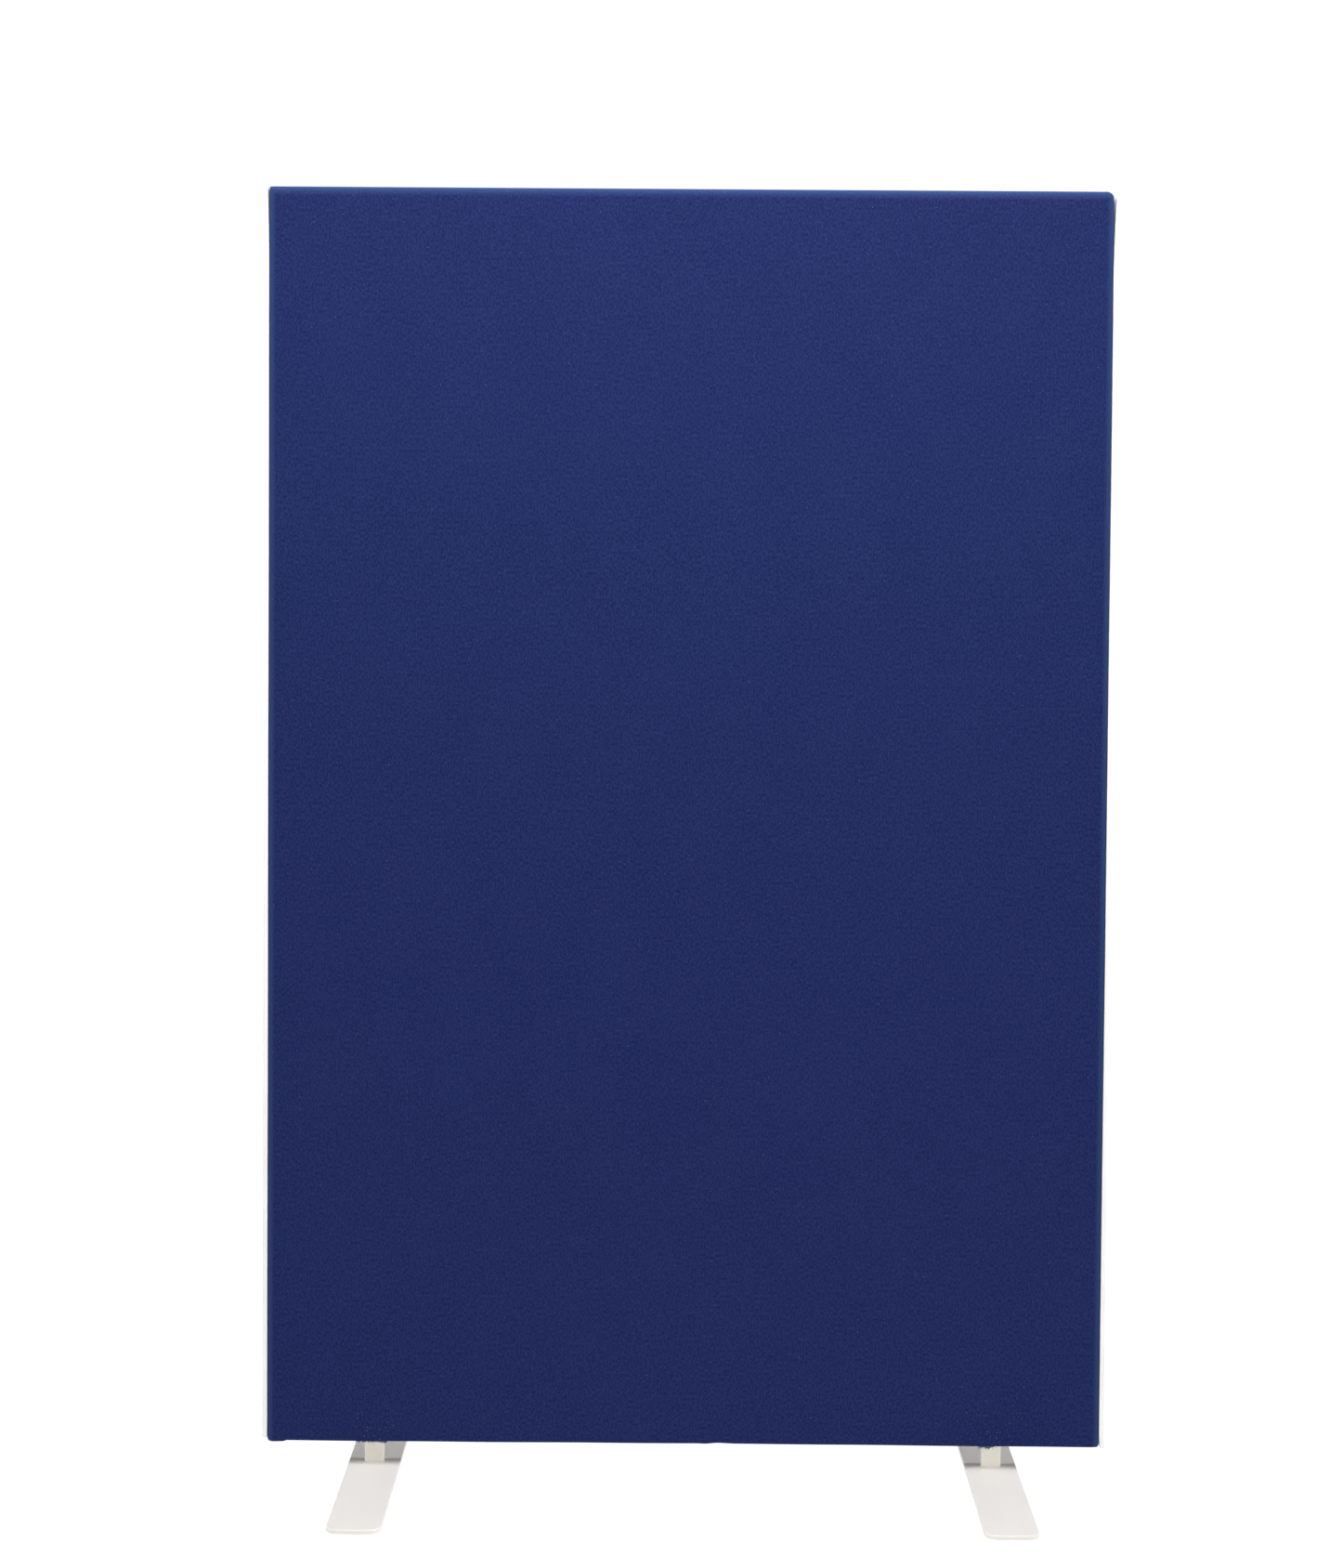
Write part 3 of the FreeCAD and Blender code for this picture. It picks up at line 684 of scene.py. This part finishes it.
# Each fray: where it starts, ends and hangs lowest, from the tongue's middle.
FRAYS = {
    "left": (-28 * MM, 21 * MM, 17 * MM),
    "right": (-21 * MM, 6 * MM, -5 * MM),
}
FRAY_FRONT = -9.5 * MM
FRAY_ROOT = COVER_BOTTOM + 0.2 * MM
THREAD_RADIUS = 0.16 * MM
THREADS = 26
THREAD_STEPS = 7
FRAY_COLUMNS = 30
FRAY_ROWS = 5


def tube(points, radius, sides=5):
    """Vertices and faces of a thread along some points, closed at both ends."""
    vertices = []
    for index, point in enumerate(points):
        ahead = points[min(index + 1, len(points) - 1)]
        behind = points[max(index - 1, 0)]
        along = (ahead - behind).normalized()
        first = along.orthogonal().normalized()
        second = along.cross(first)
        for k in range(sides):
            angle = 2 * math.pi * k / sides
            vertices.append(point + radius * (first * math.cos(angle) + second * math.sin(angle)))
    return vertices, column_faces(sides, len(points))


def join(parts):
    """Several (vertices, faces) lists as one."""
    vertices = []
    faces = []
    for some, quads in parts:
        base = len(vertices)
        vertices += some
        faces += [tuple(base + v for v in quad) for quad in quads]
    return vertices, faces


def fray_length(along, longest):
    """How far the torn edge hangs down at a place."""
    coarse = noise.noise(Vector((along * 420, 3.1, 0)))
    fine = noise.noise(Vector((along * 1300, 8.8, 0)))
    ragged = coarse + 0.6 * fine
    return (5.0 + 1.6 * ragged + 2.2 * hump(along, longest, 5 * MM)) * MM


def torn_lip(side):
    """The lip of cloth that hangs in front of a tongue, as vertices and faces."""
    start, end, longest = FRAYS[side]
    middle = tongue_middle(side)
    front = []
    back = []
    for i in range(FRAY_COLUMNS + 1):
        along = start + (end - start) * i / FRAY_COLUMNS
        ends = ease(min(i, FRAY_COLUMNS - i) / 3)
        length = fray_length(along, longest) * (0.35 + 0.65 * ends)
        for j in range(FRAY_ROWS + 1):
            share = j / FRAY_ROWS
            wave = 0.5 * MM * share * math.sin(along * 900)
            y = FRAY_FRONT + 2.5 * MM * share + wave
            z = FRAY_ROOT - length * share ** 1.3
            front.append(Vector((middle + along, y, z)))
            back.append(Vector((middle + along, y + CLOTH_THICKNESS * (1 - 0.5 * share), z)))
    size = len(front)
    tall = FRAY_ROWS + 1
    faces = []
    for i in range(FRAY_COLUMNS):
        for j in range(FRAY_ROWS):
            a = i * tall + j
            b = a + tall
            faces.append((a, b, b + 1, a + 1))
            faces.append((size + a, size + a + 1, size + b + 1, size + b))
    rim = [i * tall for i in range(FRAY_COLUMNS + 1)]
    rim += [FRAY_COLUMNS * tall + j for j in range(1, tall)]
    rim += [i * tall + FRAY_ROWS for i in range(FRAY_COLUMNS - 1, -1, -1)]
    rim += range(FRAY_ROWS - 1, 0, -1)
    for a, b in zip(rim, rim[1:] + rim[:1]):
        faces.append((a, size + a, size + b, b))
    return front + back, faces


def loose_thread(side):
    """A thread that curls away below the torn edge, as vertices and faces."""
    start, end, longest = FRAYS[side]
    along = RNG.uniform(start, end)
    hang = 0.7 * fray_length(along, longest)
    point = Vector((tongue_middle(side) + along, FRAY_FRONT + 2 * MM, FRAY_ROOT - hang))
    heading = Vector((RNG.uniform(-0.9, 0.9), RNG.uniform(-0.5, 0.5), -1)).normalized()
    curl = Vector((RNG.uniform(-0.5, 0.5), RNG.uniform(-0.4, 0.4), RNG.uniform(-0.1, 0.2)))
    step = RNG.uniform(0.35, 0.75) * MM
    line = [point]
    for _ in range(THREAD_STEPS):
        heading = (heading + curl * 0.35).normalized()
        line.append(line[-1] + heading * step)
    return tube(line, THREAD_RADIUS * RNG.uniform(0.7, 1.2))


def make_fray(side):
    """Torn cloth and loose threads where a tongue comes through."""
    parts = [torn_lip(side)] + [loose_thread(side) for _ in range(THREADS)]
    piece = make_object(f"{side}_slit_fray", *join(parts), yarn)
    outward(piece)
    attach(piece, "panel")
    return piece


# ---- the plastic trims ----

# How far each trim leans off its stile at the top and at the bottom, and its channel,
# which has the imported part's section with a slightly deeper floor.
TRIM_PEEL = {"left": 2.2 * MM, "right": 3.5 * MM}
TRIM_PEEL_LENGTH = 110 * MM
TRIM_TOE = {"left": 0.2 * MM, "right": 1.4 * MM}
TRIM_TOE_LENGTH = 22 * MM
TRIM_SWAY = 0.12 * MM
TRIM_END_ROUND = 0.25 * MM
CHANNEL_DEPTH = 5.2 * MM
CHANNEL_SETBACK = 0.15 * MM
CHANNEL_LIP = 1.6 * MM
MOUTH_HALF = 3 * MM
UNDERCUT_HALF = 7 * MM


def trim_profile(proud, half_depth):
    """The extrusion's outline: outwards from the stile, and across the wall's thickness."""
    lip = proud - CHANNEL_LIP
    floor = proud - CHANNEL_DEPTH - CHANNEL_SETBACK
    soft = 0.35 * MM
    half = [
        (0.0, -half_depth, 0.3 * MM),
        (proud, -half_depth, 2.5 * MM),
        (proud, -MOUTH_HALF, soft),
        (lip, -MOUTH_HALF, soft),
        (lip, -UNDERCUT_HALF, soft),
        (floor, -UNDERCUT_HALF, soft),
    ]
    return rounded_outline(half + [(x, -y, r) for x, y, r in reversed(half)], steps=4)


def trim_heights(low, high):
    """Where a trim's rings are: closer together at its ends, where it bends."""
    toe = [low + rise for rise in (0.0, 0.4 * MM, 3 * MM, 8 * MM, 15 * MM, TRIM_TOE_LENGTH)]
    middle = evenly(low + 40 * MM, high - 130 * MM, 34)
    upper = evenly(high - 120 * MM, high - 6 * MM, 20)
    return toe + middle + upper + [high - 0.4 * MM, high]


def make_trim(side):
    """One trim, peeling away a little at its upper end."""
    way = SIDES[side]
    low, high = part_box(f"{side}_edge_trim")
    proud = high.x - low.x
    half_depth = high.y
    outline = trim_profile(proud, half_depth)
    heights = trim_heights(low.z, high.z)
    base = low.x if way > 0 else high.x
    vertices = []
    for z in heights:
        peel = TRIM_PEEL[side] * max(0.0, 1 - (high.z - z) / TRIM_PEEL_LENGTH) ** 1.6
        toe = TRIM_TOE[side] * max(0.0, 1 - (z - low.z) / TRIM_TOE_LENGTH) ** 1.4
        sway = TRIM_SWAY * math.sin(z * 9 + way) if z < high.z else 0.0
        shrink = TRIM_END_ROUND if z in (heights[0], heights[-1]) else 0.0
        for out, across in outline:
            across -= math.copysign(shrink, across) if abs(across) > half_depth / 2 else 0.0
            out = max(out - (shrink if out > proud / 2 else 0.0), 0.0)
            vertices.append((base + way * (out + peel + toe + sway), across, z))
    faces = column_faces(len(outline), len(heights))
    piece = make_object(f"{side}_trim", vertices, faces, plastic)
    outward(piece)
    settle_normals(piece)
    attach(piece, "panel")
    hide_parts(f"{side}_edge_trim")
    return piece


# ---- the feet ----

PLATE_CORNER = 13 * MM
PLATE_ROUND = 1.5 * MM
PLATE_ROUND_STEPS = 6
PLATE_SOLE_ROUND = 0.5 * MM
END_BOW = 2.0 * MM
TONGUE_ROUND = 2.0 * MM
TONGUE_FILLET = 0.7 * MM
TONGUE_FILLET_STEPS = 5


def plate_outline(half_x, half_y):
    """A bar with rounded corners and slightly bowed ends."""
    corners = [(-half_x, -half_y), (half_x, -half_y), (half_x, half_y), (-half_x, half_y)]
    turned = rounded_outline([(x, y, PLATE_CORNER) for x, y in corners], steps=10)
    outline = []
    for point, following in zip(turned, turned[1:] + turned[:1]):
        outline.append(point)
        if abs(following.x - point.x) > half_x / 2:
            outline += [point.lerp(following, k / 8) for k in range(1, 8)]
    bowed = []
    for point in outline:
        nearness = ease((abs(point.y) - (half_y - 2 * PLATE_CORNER)) / (2 * PLATE_CORNER))
        shift = END_BOW * (point.x / half_x) ** 2 * nearness
        bowed.append(Vector((point.x, point.y - math.copysign(shift, point.y))))
    return bowed


def tongue_outline(low, high, extra=0.0):
    """A tongue's section about its middle, grown all round by the extra."""
    half_x = (high.x - low.x) / 2 + extra
    half_y = (high.y - low.y) / 2 + extra
    corners = [(-half_x, -half_y), (half_x, -half_y), (half_x, half_y), (-half_x, half_y)]
    return rounded_outline([(x, y, TONGUE_ROUND + extra) for x, y in corners], steps=5)


def plate_levels(low, high):
    """A plate's rings from its sole to its upper face, as (inset, height)."""
    levels = [(1.6 * MM, low.z), (PLATE_SOLE_ROUND, low.z), (0.15 * MM, low.z + 0.15 * MM)]
    levels += [(0.0, low.z + PLATE_SOLE_ROUND), (0.0, high.z - PLATE_ROUND - 0.5 * MM)]
    for k in range(PLATE_ROUND_STEPS + 1):
        angle = 0.5 * math.pi * k / PLATE_ROUND_STEPS
        inset = PLATE_ROUND * (1 - math.cos(angle))
        levels.append((inset, high.z - PLATE_ROUND * (1 - math.sin(angle))))
    levels.append((PLATE_ROUND + 1.2 * MM, high.z))
    return levels


def add_ring(work, points, middle, z):
    """Level vertices at some places about a middle."""
    return [work.verts.new((middle.x + x, middle.y + y, z)) for x, y in points]


def add_walls(work, rings):
    """Quads between each ring and the next."""
    for one, other in zip(rings, rings[1:]):
        for i in range(len(one)):
            j = (i + 1) % len(one)
            work.faces.new((one[i], one[j], other[j], other[i]))


def add_face_with_hole(work, outer, inner):
    """A flat face between an outer and an inner ring."""
    edges = []
    for ring in (outer, inner):
        for i in range(len(ring)):
            edges.append(work.edges.get((ring[i], ring[(i + 1) % len(ring)])))
    bmesh.ops.triangle_fill(work, edges=edges, use_beauty=True)


def make_plate(side):
    """A foot's flat bar, softened along its upper edge and slotted for its tongue."""
    low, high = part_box(f"{side}_foot_plate")
    middle = (low + high) / 2
    half_x = (high.x - low.x) / 2
    half_y = (high.y - low.y) / 2
    outline = plate_outline(half_x, half_y)
    work = bmesh.new()
    rings = []
    for inset, z in plate_levels(low, high):
        reach_x = half_x - inset
        reach_y = half_y - inset
        points = [(p.x * reach_x / half_x, p.y * reach_y / half_y) for p in outline]
        rings.append(add_ring(work, points, middle, z))
    add_walls(work, rings)

    tongue_low, tongue_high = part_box(f"{side}_foot_tongue")
    weld_low, weld_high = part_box(f"{side}_foot_weld")
    weld_reach = (weld_high.x - weld_low.x - (tongue_high.x - tongue_low.x)) / 2
    slot = tongue_outline(tongue_low, tongue_high)
    recess = tongue_outline(tongue_low, tongue_high, weld_reach)
    shaft = [
        add_ring(work, slot, middle, high.z),
        add_ring(work, slot, middle, weld_high.z),
        add_ring(work, recess, middle, weld_low.z),
        add_ring(work, recess, middle, low.z),
    ]
    add_walls(work, shaft)
    add_face_with_hole(work, rings[-1], shaft[0])
    add_face_with_hole(work, rings[0], shaft[-1])
    bmesh.ops.recalc_face_normals(work, faces=work.faces)

    piece = make_object(f"{side}_foot_bar", [], [], foot_paint)
    work.to_mesh(piece.data)
    work.free()
    for polygon in piece.data.polygons:
        polygon.use_smooth = True
    settle_normals(piece)
    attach(piece, f"{side}_foot")
    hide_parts(f"{side}_foot_plate")
    return piece


def make_tongue(side):
    """A foot's upright bar, with a fillet of paint where it leaves the plate."""
    low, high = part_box(f"{side}_foot_tongue")
    plate_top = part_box(f"{side}_foot_plate")[1].z
    middle = (low + high) / 2
    levels = [(0.0, low.z), (0.0, plate_top - 0.6 * MM)]
    for k in range(TONGUE_FILLET_STEPS + 1):
        angle = 0.5 * math.pi * k / TONGUE_FILLET_STEPS
        spare = TONGUE_FILLET * (1 - math.sin(angle))
        levels.append((spare, plate_top + TONGUE_FILLET * (1 - math.cos(angle)) - 0.02 * MM))
    levels += [(0.0, plate_top + z) for z in (2 * MM, 20 * MM, 60 * MM)]
    levels += [(0.0, high.z - 1.0 * MM), (-0.3 * MM, high.z - 0.3 * MM), (-1.0 * MM, high.z)]
    vertices = []
    for extra, z in levels:
        for point in tongue_outline(low, high, extra):
            vertices.append((middle.x + point.x, middle.y + point.y, z))
    faces = column_faces(len(vertices) // len(levels), len(levels))
    # Its coat is the plate's, painted paler and warmer as painted light.
    piece = make_object(f"{side}_tongue_bar", vertices, faces, tongue_paint_painted_lighter)
    outward(piece)
    settle_normals(piece)
    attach(piece, f"{side}_foot")
    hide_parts(f"{side}_foot_tongue")
    return piece


# ---- materials of the parts that keep their CAD shape ----


def finish_nodes():
    """Gives each node that is shown as packed the material it is made of."""
    upright_timber = wood_material("pine_upright", 2, (0.70, 0.50, 0.29), (0.52, 0.33, 0.17))
    level_timber = wood_material("pine_level", 0, (0.70, 0.50, 0.29), (0.52, 0.33, 0.17))
    dowel_wood = wood_material("beech_dowel", 0, (0.72, 0.54, 0.37), (0.60, 0.42, 0.27))
    hardboard = board_material()
    paper = paper_material()
    socket_steel = steel_material("socket_zinc", 5)
    fastener_steel = steel_material("fastener_zinc", 1.2)
    finishes = {
        "left_stile": upright_timber,
        "right_stile": upright_timber,
        "top_rail": level_timber,
        "middle_rail": level_timber,
        "bottom_rail": level_timber,
        "frame_dowels": dowel_wood,
        "lower_core": paper,
        "upper_core": paper,
        "front_board": hardboard,
        "rear_board": hardboard,
        "board_staples": fastener_steel,
        "cover_staples": fastener_steel,
    }
    for side in SIDES:
        finishes[f"{side}_trim_screws"] = fastener_steel
        finishes[f"{side}_socket_screws"] = fastener_steel
        finishes[f"{side}_socket"] = socket_steel
        finishes[f"{side}_foot_weld"] = foot_paint
    for name, material in finishes.items():
        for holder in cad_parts[name].material_slots:
            holder.material = material


# ---- stage, light and camera ----

FLOOR_REACH = 30.0
FLOOR_GLOW = 0.985

# How high above the horizon the world starts and stops dimming, and how bright it is there.
DIMMING = (0.25, 0.38)
WORLD_GLOW = (1.02, 0.15)

AIM = (0.0, 0.0, 0.9)
CAMERA_PLACE = (-0.0136, -3.2174, 1.3591)
CAMERA_YAW_PITCH_ROLL = (-0.211, 1.700, 0.409)
CAMERA_LENS = 51.61
CAMERA_SHIFT = -0.12


def make_floor():
    """A floor that glows, to be as white as the world behind it."""
    paint = Paint("pale_floor")
    cloud = paint.noise(paint.place((700, 700, 700)), detail=2)
    paint.colour(paint.blend(paint.spread(cloud, 0.3, 0.7), (0.10, 0.10, 0.10), (0.12, 0.12, 0.12)))
    paint.shader.inputs["Emission Color"].default_value = (1, 1, 1, 1)
    paint.fix(Roughness=0.8, Emission_Strength=FLOOR_GLOW)
    level = cad_bounds[0][2] - 0.2 * MM
    signs = ((-1, -1), (1, -1), (1, 1), (-1, 1))
    corners = [(x * FLOOR_REACH, y * FLOOR_REACH, level) for x, y in signs]
    floor = make_object("floor", corners, [(0, 1, 2, 3)], paint.material, flat=True)


def make_world():
    """White all round near the horizon, dimmer overhead where the lamps do the work."""
    world = bpy.data.worlds.new("studio")
    world.use_nodes = True
    tree = world.node_tree
    place = tree.nodes.new("ShaderNodeTexCoord")
    parts = tree.nodes.new("ShaderNodeSeparateXYZ")
    ramp = tree.nodes.new("ShaderNodeMapRange")
    for socket, number in zip(list(ramp.inputs)[1:5], (*DIMMING, *WORLD_GLOW)):
        socket.default_value = number
    tree.links.new(place.outputs["Generated"], parts.inputs["Vector"])
    tree.links.new(parts.outputs["Z"], ramp.inputs["Value"])
    tree.links.new(ramp.outputs["Result"], tree.nodes["Background"].inputs["Strength"])
    tree.nodes["Background"].inputs["Color"].default_value = (1, 1, 1, 1)
    bpy.context.scene.world = world


def make_lamp(name, place, target, size, power):
    """A rectangular lamp, its size in metres and its power in watts."""
    data = bpy.data.lights.new(name, "AREA")
    data.shape = "RECTANGLE"
    data.size, data.size_y = size
    data.energy = power
    lamp = bpy.data.objects.new(name, data)
    lamp.location = place
    lamp.rotation_euler = (Vector(target) - Vector(place)).to_track_quat("-Z", "Y").to_euler()
    bpy.context.scene.collection.objects.link(lamp)


def make_camera():
    """A little left of the middle, at chest height, looking very slightly down."""
    yaw, pitch, roll = (math.radians(a) for a in CAMERA_YAW_PITCH_ROLL)
    ahead = Vector((math.sin(yaw), math.cos(yaw), 0))
    right = Vector((math.cos(yaw), -math.sin(yaw), 0))
    up = Vector((0, 0, 1))
    view = ahead * math.cos(pitch) - up * math.sin(pitch)
    above = up * math.cos(pitch) + ahead * math.sin(pitch)
    camera_right = right * math.cos(roll) + above * math.sin(roll)
    camera_up = above * math.cos(roll) - right * math.sin(roll)
    data = bpy.data.cameras.new("camera")
    data.sensor_width = 36
    data.lens = CAMERA_LENS
    data.shift_y = CAMERA_SHIFT
    camera = bpy.data.objects.new("camera", data)
    turn = Matrix((camera_right, camera_up, -view)).transposed().to_4x4()
    camera.matrix_world = Matrix.Translation(CAMERA_PLACE) @ turn
    bpy.context.scene.collection.objects.link(camera)
    bpy.context.scene.camera = camera


def make_lights():
    """A soft box over the front, a weak fill from the right, and a wash from each side."""
    make_lamp("overhead", (0.0, -0.6, 3.3), (0.0, -0.6, 0.0), size=(2.6, 2.2), power=133)
    make_lamp("front_fill", (3.2, -2.8, 1.6), AIM, size=(2.0, 2.0), power=24)
    for side, way in SIDES.items():
        make_lamp(f"{side}_wash", (way * 3.2, -0.15, 1.3), AIM, size=(1.0, 2.2), power=18)


# ---- everything together ----

cover, cover_around = make_cover()
frays = [make_fray(side) for side in SIDES]
for side in SIDES:
    make_trim(side)
    make_plate(side)
    make_tongue(side)
finish_nodes()
make_floor()
make_world()
make_lights()
make_camera()
bpy.context.scene.view_settings.view_transform = "Standard"
